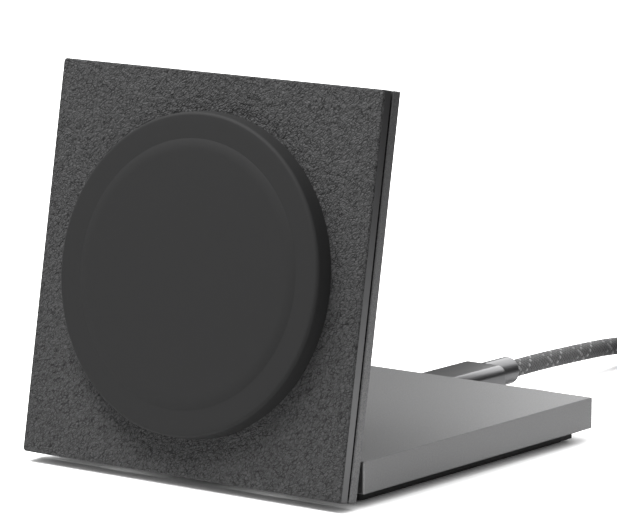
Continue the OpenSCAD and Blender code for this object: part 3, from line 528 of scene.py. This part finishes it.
@dataclass
class Studio:
    """Camera, floor, backdrop and lights.

    Attributes:
        eye: The camera's place.
        yaw: Its turn about the vertical, in degrees.
        pitch: How far it looks down, in degrees.
        roll: Its turn about its own axis, in degrees.
        lens: Focal length in millimetres on a 36 mm wide sensor.
        floor_size: Length and width of the floor.
        low_light: Light of the room at its walls' foot.
        high_light: Light of the room from above.
        rise: Heights, as sines, between which the one turns to the other.
        front_light: Light of the room from the right, added to the rest.
        front_aim: Where that comes from.
        back_light: Light of the room from behind and above, added to the rest.
        back_aim: Where that comes from.
        glow: What the camera sees of the floor over its shaded colour.
        mirrored: Share of that glow that the metal reflects.
        contact: How near a thing keeps the floor from glowing.
        contact_power: How sharply the glow comes back.
        table: Distances from the stand between which the floor falls off to the dark room.
        floor_pale: The floor's colour near the stand.
        floor_dark: The floor's colour in the dark room, which only reflections see.
    """

    eye: Vector = field(default_factory=lambda: Vector((0.551716, -0.738151, 0.196368)))
    yaw: float = 36.956
    pitch: float = 9.750
    roll: float = 0.140
    lens: float = 267.13
    floor_size: float = 6.0
    low_light: float = 0.06
    high_light: float = 0.34
    rise: tuple[float, float] = (0.0, 0.6)
    front_light: float = 0.25
    front_aim: Triple = (0.8, -0.54, 0.26)
    back_light: float = 0.5
    back_aim: Triple = (0.0, 0.5, 0.866)
    glow: float = 1.0
    mirrored: float = 0.08
    contact: float = 7.0 * MM
    contact_power: float = 1.6
    table: tuple[float, float] = (0.12, 0.5)
    floor_pale: Triple = (0.9, 0.9, 0.9)
    floor_dark: Triple = (0.07, 0.07, 0.07)

    def camera(self) -> None:
        """Places the camera."""
        data = bpy.data.cameras.new("camera")
        data.lens = self.lens
        data.sensor_width = 36.0
        data.clip_start = 0.01
        data.clip_end = 20.0
        camera = bpy.data.objects.new("camera", data)
        bpy.context.scene.collection.objects.link(camera)
        turn = Matrix.Rotation(math.radians(self.yaw), 4, "Z")
        tilt = Matrix.Rotation(math.radians(90 - self.pitch), 4, "X")
        roll = Matrix.Rotation(math.radians(self.roll), 4, "Z")
        camera.matrix_world = Matrix.Translation(self.eye) @ turn @ tilt @ roll
        bpy.context.scene.camera = camera

    def floor(self) -> None:
        """Lays the pale floor, which keeps the shadows and shows white to the camera where it is lit."""
        shape = bmesh.new()
        bmesh.ops.create_grid(shape, x_segments=2, y_segments=2, size=self.floor_size / 2)
        floor = make_piece(shape, "floor")
        made = bpy.data.materials.new("pale_floor")
        made.use_nodes = True
        tree = Tree(made.node_tree)
        shader = made.node_tree.nodes["Principled BSDF"]
        shader.inputs["Roughness"].default_value = 0.6
        shader.inputs["Specular IOR Level"].default_value = 0.2
        shader.inputs["Emission Color"].default_value = (1, 1, 1, 1)
        rays = tree.add("ShaderNodeLightPath")
        camera_ray, glossy_ray = rays.outputs["Is Camera Ray"], rays.outputs["Is Glossy Ray"]
        place = tree.add("ShaderNodeTexCoord").outputs["Object"]
        away = tree.add("ShaderNodeVectorMath", {0: place}, operation="LENGTH").outputs["Value"]
        near = tree.remap(away, self.table[0], self.table[1], 1, 0)
        # Reflections see a pale table in a dark room; the camera sees the same pale floor everywhere
        lit = tree.math("MAXIMUM", near, camera_ray)
        colour = tree.mix(lit, rgba(self.floor_dark), rgba(self.floor_pale))
        tree.feed(shader.inputs["Base Color"], colour)
        # The floor shows white to the camera, but not in the contact shadow close to the stand
        seen = tree.math("MAXIMUM", camera_ray, tree.math("MULTIPLY", glossy_ray, self.mirrored))
        openness = tree.add("ShaderNodeAmbientOcclusion", {"Distance": self.contact}, samples=8).outputs["AO"]
        openness = tree.math("POWER", openness, self.contact_power)
        glow = tree.math("MULTIPLY", tree.math("MULTIPLY", seen, lit), tree.math("MULTIPLY", openness, self.glow))
        # Far from the stand the lamps give less, so more is added there
        beyond = tree.math("MULTIPLY", camera_ray, tree.remap(near, 0.2, 0.9, 1, 0))
        tree.feed(shader.inputs["Emission Strength"], tree.math("ADD", glow, beyond))
        floor.data.materials.append(made)

    def world(self) -> None:
        """Sets the light of the room, brighter above, behind and at the right, and the white that the camera sees."""
        world = bpy.data.worlds.new("studio")
        world.use_nodes = True
        bpy.context.scene.world = world
        tree = Tree(world.node_tree)
        shader = world.node_tree.nodes["Background"]
        shader.inputs["Color"].default_value = (1, 1, 1, 1)
        rays = tree.add("ShaderNodeLightPath")
        toward = tree.add("ShaderNodeTexCoord").outputs["Generated"]
        height = tree.add("ShaderNodeSeparateXYZ", {0: toward}).outputs["Z"]
        room = tree.remap(height, self.rise[0], self.rise[1], self.low_light, self.high_light)
        for aim, start, full, light in (
            (self.back_aim, 0.5, 1.0, self.back_light), (self.front_aim, 0.3, 0.9, self.front_light),
        ):
            dot = tree.add("ShaderNodeVectorMath", {0: toward, 1: aim}, operation="DOT_PRODUCT")
            room = tree.math("ADD", room, tree.remap(dot.outputs["Value"], start, full, 0, light))
        seen = tree.add("ShaderNodeMix", {"Factor": rays.outputs["Is Camera Ray"], 2: room, 3: 1.0}, data_type="FLOAT")
        tree.feed(shader.inputs["Strength"], seen.outputs[0])

    @staticmethod
    def softbox(name: str, place: Triple, aim: Triple, size: tuple[float, float], power: float) -> None:
        """Hangs one rectangular soft light.

        Args:
            name: The light's name.
            place: Where it hangs.
            aim: The point that it faces.
            size: Width and height in metres.
            power: Power in watts.
        """
        data = bpy.data.lights.new(name, "AREA")
        data.shape = "RECTANGLE"
        data.size, data.size_y = size
        data.energy = power
        lamp = bpy.data.objects.new(name, data)
        lamp.visible_camera = False
        bpy.context.scene.collection.objects.link(lamp)
        lamp.location = place
        lamp.rotation_mode = "QUATERNION"
        lamp.rotation_quaternion = (Vector(aim) - Vector(place)).to_track_quat("-Z", "Y")

    def lights(self) -> None:
        """Hangs the lights: a wide key above the front, and a low one behind that the slab's top reflects."""
        self.softbox("key", (-0.09, -0.15, 0.38), (0, 0, 0.03), (0.36, 0.14), 2.85)
        self.softbox("rear", (-0.024, 0.24, 0.095), (0.03, 0.0, 0.01), (0.17, 0.13), 0.16)


@dataclass
class Cord:
    """The braided cable, with its coil of spare length.

    Attributes:
        diameter: The cable's diameter.
        length: Its real length; not used.
        run: Points from the near plug's collar to the coil, in millimetres.
        tail: Points from the coil to the far plug, in millimetres.
        centre: The coil's centre in millimetres.
        radius: Radius of the coil's middle turn in millimetres.
        lowest: Height of the lowest turns' centre in millimetres.
        sides: Faces round the cable.
        strands: Strands of the braid in each direction.
        braid: How far the strands stand out.
        shown_step: Distance between rings where the camera looks.
        hidden_step: Distance between rings elsewhere.
    """

    diameter: float = 0.0038
    length: float = 1.2
    run: tuple[Sequence[float], ...] = (
        (0, 66, 5.75), (0, 72, 5.75), (0, 80, 5.75), (0, 88, 5.6),
        (0, 96, 5.4), (0, 104, 5.1), (0, 111, 4.6), (0, 118, 4),
    )
    tail: tuple[Sequence[float], ...] = (
        (15.4, 104.2, 12), (8.5, 108, 13.5), (3, 114.5, 13.8), (0.8, 120, 13.9), (0, 126, 14),
        (2, 133, 14.6), (7, 138, 14.9), (13.5, 140, 14.95), (17.4, 140, 14.95),
    )
    centre: tuple[float, float] = (23.1, 126)
    radius: float = 19.3
    lowest: float = 2.4
    sides: int = 32
    strands: int = 12
    braid: float = 0.00007
    shown_step: float = 0.2 * MM
    hidden_step: float = 1.0 * MM

    def _slots(self) -> list[tuple[float, float]]:
        """Gives radius and height, in millimetres, of the winding's nine places in the order that they fill."""
        pitch = self.diameter / MM
        order = ((1, 0), (0, 0), (-1, 0), (-1, 1), (-1, 2), (0, 2), (0, 1), (1, 1), (1, 2))
        return [(self.radius + out * pitch, self.lowest + up * pitch) for out, up in order]

    def coil(self) -> list[Vector]:
        """Winds the coil: each turn keeps to its place and eases into the next in its last part.

        Returns:
            Points of the turns, in millimetres.
        """
        starts = (320, 320, 311, 311, 302, 293, 284, 275)
        window, end, step = 40, 8 * 360 + 262, 10
        slots = self._slots()
        points = []
        for travelled in range(step, end, step):
            turn = min(travelled // 360, len(slots) - 1)
            here = slots[turn]
            share = 0.0
            if turn < len(starts):
                share = min(max((travelled % 360 - starts[turn]) / window, 0.0), 1.0)
            ease = (1 - math.cos(math.pi * share)) / 2
            ahead = slots[min(turn + 1, len(slots) - 1)]
            radius = here[0] + (ahead[0] - here[0]) * ease
            height = here[1] + (ahead[1] - here[1]) * ease
            angle = math.radians(180 - travelled)
            points.append(Vector((
                self.centre[0] + radius * math.cos(angle), self.centre[1] + radius * math.sin(angle), height,
            )))
        return points

    def line(self) -> list[Vector]:
        """Joins run, coil and tail to one smooth line.

        Returns:
            Points in metres, close together where the camera looks.
        """
        knots = [Vector(p) for p in self.run] + self.coil() + [Vector(p) for p in self.tail]
        knots = [p * MM for p in knots]
        shown = len(self.run) - 1
        points = [knots[0]]
        for i in range(len(knots) - 1):
            before, after = knots[max(i - 1, 0)], knots[min(i + 2, len(knots) - 1)]
            gap = (knots[i + 1] - knots[i]).length
            count = max(2, round(gap / (self.shown_step if i < shown else self.hidden_step)))
            for k in range(1, count + 1):
                points.append(self._between(before, knots[i], knots[i + 1], after, k / count))
        return points

    @staticmethod
    def _between(a: Vector, b: Vector, c: Vector, d: Vector, t: float) -> Vector:
        """Gives the point at share t on the smooth curve from b to c, with a before and d after them."""
        return 0.5 * ((2 * b) + (c - a) * t + (2 * a - 5 * b + 4 * c - d) * t * t + (3 * b - a - 3 * c + d) * t ** 3)

    def relief(self, u: float, v: float) -> float:
        """Gives how far the braid stands out.

        Args:
            u: Share of the way round.
            v: Count of the braid's pitch along the cord.

        Returns:
            From 0, between strands, to 1, on a strand's crown.
        """
        left, right = self.strands * u + v, self.strands * u - v
        over = (math.floor(left) + math.floor(right)) % 2
        inside = [math.sin(math.pi * (x % 1.0)) for x in (left, right)]
        across, along = (inside[1], inside[0]) if over else (inside[0], inside[1])
        return max(across, 0.0) ** CROWN_POWER * (CROWN_FOOT + (1 - CROWN_FOOT) * along)

    def tube(self, points: Sequence[Vector]) -> Piece:
        """Makes the cable's own surface, a ring at each point, with the braid standing out.

        Args:
            points: The line to follow.

        Returns:
            The cable, with a UV map that follows the braid.
        """
        shape = bmesh.new()
        uv = shape.loops.layers.uv.new("braid")
        pitch = math.pi * self.diameter / self.strands
        side = Vector((1, 0, 0))
        rings: list[list[bmesh.types.BMVert]] = []
        lengths = [0.0]
        for i, point in enumerate(points):
            ahead = (points[min(i + 1, len(points) - 1)] - points[max(i - 1, 0)]).normalized()
            side = (side - ahead * side.dot(ahead)).normalized()
            other = ahead.cross(side)
            if i:
                lengths.append(lengths[-1] + (point - points[i - 1]).length)
            ring = []
            for k in range(self.sides):
                angle = math.tau * k / self.sides
                out = side * math.cos(angle) + other * math.sin(angle)
                rise = self.braid * (self.relief(k / self.sides, lengths[-1] / pitch) - 0.6)
                ring.append(shape.verts.new(point + out * (self.diameter / 2 + rise)))
            rings.append(ring)
        for i in range(len(rings) - 1):
            for k in range(self.sides):
                nxt = (k + 1) % self.sides
                face = shape.faces.new((rings[i][k], rings[i][nxt], rings[i + 1][nxt], rings[i + 1][k]))
                corners = ((k, i), (k + 1, i), (k + 1, i + 1), (k, i + 1))
                for loop, (a, b) in zip(face.loops, corners):
                    loop[uv].uv = (a / self.sides, lengths[b] / pitch)
        shape.faces.new(list(reversed(rings[0])))
        shape.faces.new(rings[-1])
        bmesh.ops.recalc_face_normals(shape, faces=shape.faces[:])
        return make_piece(shape, "cable", 180.0)

    def build(self, wardrobe: Wardrobe, on_it: Sequence[Piece]) -> Piece:
        """Args:
            wardrobe: Where its material comes from.
            on_it: The separate pieces on it; not used.

        Returns:
            The cable.
        """
        points = self.line()
        cable = self.tube(points)
        wardrobe.dress(cable, "cable_braid")
        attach(cable, "base")
        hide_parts("cable_run", "cable_coil", "cable_tail")
        return cable


@dataclass
class Plug:
    """Metal grip and collar of one plug.

    Attributes:
        width: Width of the grip.
        height: Height of the grip.
        length: Length of the grip.
        corner: Radius of its long edges.
        lip: Rounding of its two ends.
        collar_length: Length of the collar.
        collar_radius: Radius of the collar.
        collar_rim: Rounding of the collar's end.
        seat_depth: How deep the cable sits in the collar.
        seat_radius: Radius of that seat.
        seat_rim: Rounding of the seat's mouth.
    """

    width: float = 11.6 * MM
    height: float = 6.0 * MM
    length: float = 17.6 * MM
    corner: float = 2.0 * MM
    lip: float = 0.25 * MM
    collar_length: float = 9.4 * MM
    collar_radius: float = 3.0 * MM
    collar_rim: float = 0.4 * MM
    seat_depth: float = 1.4 * MM
    seat_radius: float = 1.98 * MM
    seat_rim: float = 0.12 * MM

    def grip(self, name: str, place: Matrix) -> Piece:
        """Makes the grip, from its root at the origin along +Y.

        Args:
            name: The piece's name.
            place: Where it goes.

        Returns:
            The grip.
        """
        shape = bmesh.new()
        bmesh.ops.create_cube(shape, size=1.0)
        bmesh.ops.scale(shape, verts=shape.verts[:], vec=(self.width, self.length, self.height))
        bmesh.ops.translate(shape, verts=shape.verts[:], vec=(0, self.length / 2, 0))
        long_edges = [e for e in shape.edges if abs((e.verts[0].co - e.verts[1].co).y) > self.length / 2]
        bevel(shape, long_edges, self.corner, 14)
        ends = [e for e in shape.edges if abs(e.verts[0].co.y - e.verts[1].co.y) < 1e-7]
        bevel(shape, ends, self.lip, 4)
        return place_piece(shape, name, place)

    def collar(self, name: str, place: Matrix) -> Piece:
        """Makes the collar behind the grip, with the cable's seat.

        Args:
            name: The piece's name.
            place: Where it goes.

        Returns:
            The collar.
        """
        radius, rim, mouth = self.collar_radius, self.collar_rim, self.seat_rim
        end, floor = self.collar_length, self.collar_length - self.seat_depth
        profile = [(0, 0), (radius, 0)]
        profile += arc((radius - rim, end - rim), rim, 0, 90, 6)
        profile += arc((self.seat_radius + mouth, end - mouth), mouth, 90, 180, 3)
        profile += [(self.seat_radius, floor), (0, floor)]
        shape = turned(profile, 64)
        lay_down = Matrix.Rotation(-math.pi / 2, 4, "X")
        step_back = Matrix.Translation((0, self.length, 0))
        return place_piece(shape, name, place @ step_back @ lay_down)

    def build(self, wardrobe: Wardrobe) -> list[Piece]:
        """Makes both plugs' grips and collars in place of their plain solids.

        Args:
            wardrobe: Where their material comes from.

        Returns:
            The four pieces.
        """
        low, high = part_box("plug_grip")
        near = Matrix.Translation((0, low.y, (low.z + high.z) / 2))
        low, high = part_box("far_plug_grip")
        centre = (low + high) / 2
        far = Matrix.Translation((high.x, centre.y, centre.z)) @ Matrix.Rotation(math.pi / 2, 4, "Z")
        made = []
        for prefix, place in (("", near), ("far_", far)):
            for part, maker in (("plug_grip", self.grip), ("plug_collar", self.collar)):
                piece = maker(f"{prefix}{part}_metal", place)
                wardrobe.dress(piece, "plug_metal")
                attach(piece, "base")
                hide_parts(prefix + part)
                made.append(piece)
        return made


@dataclass
class Panel:
    """The panel's soft parts: pebbled leather and the puck's cover.

    Attributes:
        leather: Thickness of the leather.
        edge: Radius at which the leather turns over the tray's edge.
        corner: Radius of the leather's corners.
        hole: Radius of the leather's hole.
        grid: Faces along one side of the leather's flat part.
        puck: Radius of the puck.
        draft: How much wider the puck is at its foot.
        rise: Height of the puck over the leather.
        rim: Radius of the puck's rim.
        disc: Radius of the raised disc.
        disc_rise: Height of the raised disc.
        disc_edge: Width of the disc's soft edge.
        wall: Wall of the cover.
        size: Length of the panel's sides.
        folds: Height of the leather's folds.
        seed: Seed of the noise that bends them.
    """

    leather: float = 0.6 * MM
    edge: float = 0.45 * MM
    corner: float = 0.7 * MM
    hole: float = 31.25 * MM
    grid: int = 380
    puck: float = 32.1 * MM
    draft: float = 0.3 * MM
    rise: float = 3.9 * MM
    rim: float = 0.8 * MM
    disc: float = 26.8 * MM
    disc_rise: float = 0.4 * MM
    disc_edge: float = 2.5 * MM
    wall: float = 0.9 * MM
    size: float = 80.0 * MM
    folds: float = 0.14 * MM
    seed: int = 7

    def __post_init__(self) -> None:
        """Finds the panel's own axes from the mount on the puck."""
        face = next(m for m in frame["record"]["mounts"] if m["name"] == "phone_face")
        out, centre = Vector(face["axis"]), Vector(face["pos_m"])
        up = Vector((0, out.z, -out.y))
        side = up.cross(out)
        origin = centre - out * (self.rise + self.disc_rise)
        self.place = Matrix((
            (side.x, up.x, out.x, origin.x), (side.y, up.y, out.y, origin.y),
            (side.z, up.z, out.z, origin.z), (0, 0, 0, 1),
        ))
        LOG.info("leather's centre at %s", tuple(origin))

    def grain(self, x: float, y: float) -> float:
        """Gives the leather's relief at one point.

        Args:
            x: Distance across from the panel's centre.
            y: Distance up from the panel's centre.

        Returns:
            From 0, in a crease, to about 1.
        """
        where = Vector((x, y, 0)) / MM
        bent = where + 0.5 * noise.noise_vector(where * 0.9)
        near, far = noise.voronoi(bent * 0.8)[0][:2]
        fold = noise.noise(where * 0.8) + 0.5 * noise.noise(where * 1.7)
        return min((far - near) / 0.45, 1.0) ** 0.7 * 0.75 + 0.45 * fold

    def leather_sheet(self) -> Piece:
        """Makes the leather: a fine grid with its grain raised, turned over at the edge, with the puck's hole.

        Returns:
            The leather.
        """
        half = self.size / 2
        flat = half - self.edge
        shape = bmesh.new()
        bmesh.ops.create_grid(shape, x_segments=self.grid, y_segments=self.grid, size=flat)
        inner = self.hole - 0.12 * MM
        gone = [f for f in shape.faces if max(v.co.xy.length for v in f.verts) < inner]
        bmesh.ops.delete(shape, geom=gone, context="FACES")
        outline = [e for e in shape.edges if e.is_boundary]
        ring = {v for e in outline for v in e.verts if v.co.xy.length < self.hole + MM}
        for v in ring:
            v.co.xy = v.co.xy.normalized() * self.hole
        noise.seed_set(self.seed)
        for v in shape.verts:
            if v not in ring:
                v.co.z = self.folds * (self.grain(v.co.x, v.co.y) - 0.8)
        rim = [e for e in outline if e.verts[0] not in ring or e.verts[1] not in ring]
        for share in (22.5, 45.0, 67.5, 90.0):
            rim = self._roll(shape, rim, flat, share)
        self._drop(shape, rim, -self.leather)
        hole_edges = [e for e in shape.edges if e.is_boundary and all(v in ring for v in e.verts)]
        self._drop(shape, hole_edges, -self.leather)
        self._round_corners(shape)
        bmesh.ops.recalc_face_normals(shape, faces=shape.faces[:])
        bmesh.ops.transform(shape, matrix=self.place, verts=shape.verts[:])
        return make_piece(shape, "leather_front", 180.0)

    def _round_corners(self, shape: Shape) -> None:
        """Draws the leather's four square corners in to their radius."""
        start = self.size / 2 - self.corner
        for v in shape.verts:
            past = Vector((abs(v.co.x) - start, abs(v.co.y) - start))
            if min(past) > 0:
                past *= max(past) / past.length
                v.co.x = math.copysign(start + past.x, v.co.x)
                v.co.y = math.copysign(start + past.y, v.co.y)

    def _roll(self, shape: Shape, edges: list, flat: float, degrees: float) -> list:
        """Adds one step of the turned edge.

        Args:
            shape: The leather so far.
            edges: Its outer edges.
            flat: Half width of the flat part.
            degrees: Angle of the turn so far.

        Returns:
            The new outer edges.
        """
        added = bmesh.ops.extrude_edge_only(shape, edges=edges)["geom"]
        reach = flat + self.edge * math.sin(math.radians(degrees))
        drop = -self.edge * (1 - math.cos(math.radians(degrees)))
        for v in (g for g in added if isinstance(g, bmesh.types.BMVert)):
            for axis in (0, 1):
                if abs(v.co[axis]) > flat - 1e-6:
                    v.co[axis] = math.copysign(reach, v.co[axis])
            v.co.z = drop
        return [g for g in added if isinstance(g, bmesh.types.BMEdge) and g.is_boundary]

    @staticmethod
    def _drop(shape: Shape, edges: list, height: float) -> None:
        """Takes the open edges of a shape straight down to a height."""
        added = bmesh.ops.extrude_edge_only(shape, edges=edges)["geom"]
        for v in (g for g in added if isinstance(g, bmesh.types.BMVert)):
            v.co.z = height

    def puck_shell(self) -> Piece:
        """Makes the soft cover: drafted wall, round rim, flat ring and raised disc, hollow behind.

        Returns:
            The cover.
        """
        top, spigot = self.rise + self.disc_rise, self.puck - MM
        inside = spigot - 1.6 * MM
        shoulder = self.disc - self.disc_edge
        sweep = (self.disc_edge ** 2 + self.disc_rise ** 2) / (2 * self.disc_rise)
        steep = math.degrees(math.asin(self.disc_edge / sweep))
        profile = [(0, top)]
        profile += arc((shoulder, top - sweep), sweep, 90, 90 - steep, 10)
        profile += [(self.puck - self.rim - 1.2 * MM, self.rise)]
        profile += arc((self.puck - self.rim, self.rise - self.rim), self.rim, 90, 0, 9)
        profile += [(self.puck + self.draft, 0), (spigot, 0), (spigot, -self.leather), (inside, -self.leather)]
        profile += [(inside, self.rise - self.wall), (shoulder - self.wall, self.rise - self.wall)]
        profile += [(shoulder - self.wall, top - self.wall), (0, top - self.wall)]
        shape = turned(profile, 256)
        bmesh.ops.transform(shape, matrix=self.place, verts=shape.verts[:])
        return make_piece(shape, "puck_soft_cover", 12.0)

    def build(self, wardrobe: Wardrobe) -> None:
        """Makes and dresses the panel's new pieces.

        Args:
            wardrobe: Where their materials come from.
        """
        for piece, slot, node in (
            (self.leather_sheet(), "leather", "leather_facing"),
            (self.puck_shell(), "soft_touch", "puck_cover"),
        ):
            wardrobe.dress(piece, slot)
            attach(piece, "panel")
            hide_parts(node)
            LOG.info("%s replaces %s", piece.name, node)


@dataclass
class Strap:
    """The fabric strap that holds the spare cable's coil.

    Attributes:
        span: Angle that it covers, in degrees.
        thickness: Thickness of the strap.
        steps: Faces along that angle.
    """

    span: float = 20.0
    thickness: float = 0.5 * MM
    steps: int = 10

    def build(self, wardrobe: Wardrobe, cord: Cord) -> Piece:
        """Makes the strap round the bundle.

        Args:
            wardrobe: Where its material comes from.
            cord: The cable that it holds.

        Returns:
            The strap.
        """
        half = 1.5 * cord.diameter
        middle = Vector((cord.centre[0] * MM, cord.centre[1] * MM, cord.lowest * MM + cord.diameter))
        shape = bmesh.new()
        uv = shape.loops.layers.uv.new("braid")
        outline = self._outline(half + self.thickness / 2, cord.diameter / 2 + self.thickness / 2)
        points = [shape.verts.new((cord.radius * MM + x, 0, z)) for x, z in outline]
        for first, second in zip(points, points[1:] + points[:1]):
            shape.edges.new((first, second))
        bmesh.ops.spin(
            shape, geom=shape.verts[:] + shape.edges[:], axis=(0, 0, 1), cent=(0, 0, 0), dvec=(0, 0, 0),
            angle=math.radians(self.span), steps=self.steps, use_merge=False, use_duplicate=False,
        )
        halfway_back = Matrix.Rotation(-math.radians(self.span) / 2, 3, "Z")
        bmesh.ops.rotate(shape, verts=shape.verts[:], cent=(0, 0, 0), matrix=halfway_back)
        bmesh.ops.recalc_face_normals(shape, faces=shape.faces[:])
        for face in shape.faces:
            for loop in face.loops:
                x, y, z = loop.vert.co
                along = math.atan2(z, math.hypot(x, y) - cord.radius * MM) / math.tau
                loop[uv].uv = (along * 4, math.atan2(y, x) * 24)
        bmesh.ops.solidify(shape, geom=shape.faces[:], thickness=self.thickness * 0.96)
        bmesh.ops.translate(shape, verts=shape.verts[:], vec=middle)
        bmesh.ops.recalc_face_normals(shape, faces=shape.faces[:])
        strap = make_piece(shape, "coil_strap", 40.0)
        wardrobe.dress(strap, "tie_fabric")
        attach(strap, "base")
        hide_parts("cable_tie")
        return strap

    @staticmethod
    def _outline(half: float, corner: float) -> list[tuple[float, float]]:
        """Gives the points of a square outline with round corners, from half its width and its corners' radius."""
        points: list[tuple[float, float]] = []
        for quarter, (sx, sz) in enumerate(((1, 1), (-1, 1), (-1, -1), (1, -1))):
            centre = (sx * (half - corner), sz * (half - corner))
            points += arc(centre, corner, 90 * quarter, 90 * quarter + 90, 6)
        return points


def dress_nodes(wardrobe: Wardrobe) -> None:
    """Gives every CAD node the material of its slot from the wardrobe."""
    for part in frame["record"]["subparts"]:
        wardrobe.dress(frame["nodes"][part["node"]], part["material_slot"])


def main() -> None:
    """Builds the studio, then the pieces in order, and reports each."""
    logging.basicConfig(level=logging.INFO, format="%(name)s: %(message)s")
    bpy.context.scene.view_settings.view_transform = "Standard"
    studio = Studio()
    studio.camera()
    wardrobe = Wardrobe(Effects())
    dress_nodes(wardrobe)
    cord = Cord()
    plugs = Plug().build(wardrobe)
    strap = Strap().build(wardrobe, cord)
    tips = [frame["nodes"][n] for n in ("plug_shell", "plug_insert", "far_plug_shell", "far_plug_insert")]
    cable = cord.build(wardrobe, plugs + [strap] + tips)
    LOG.info("%s with %d pieces on it", cable.name, len(plugs) + 1 + len(tips))
    Panel().build(wardrobe)
    studio.floor()
    studio.world()
    studio.lights()


if __name__ == "__main__":
    main()
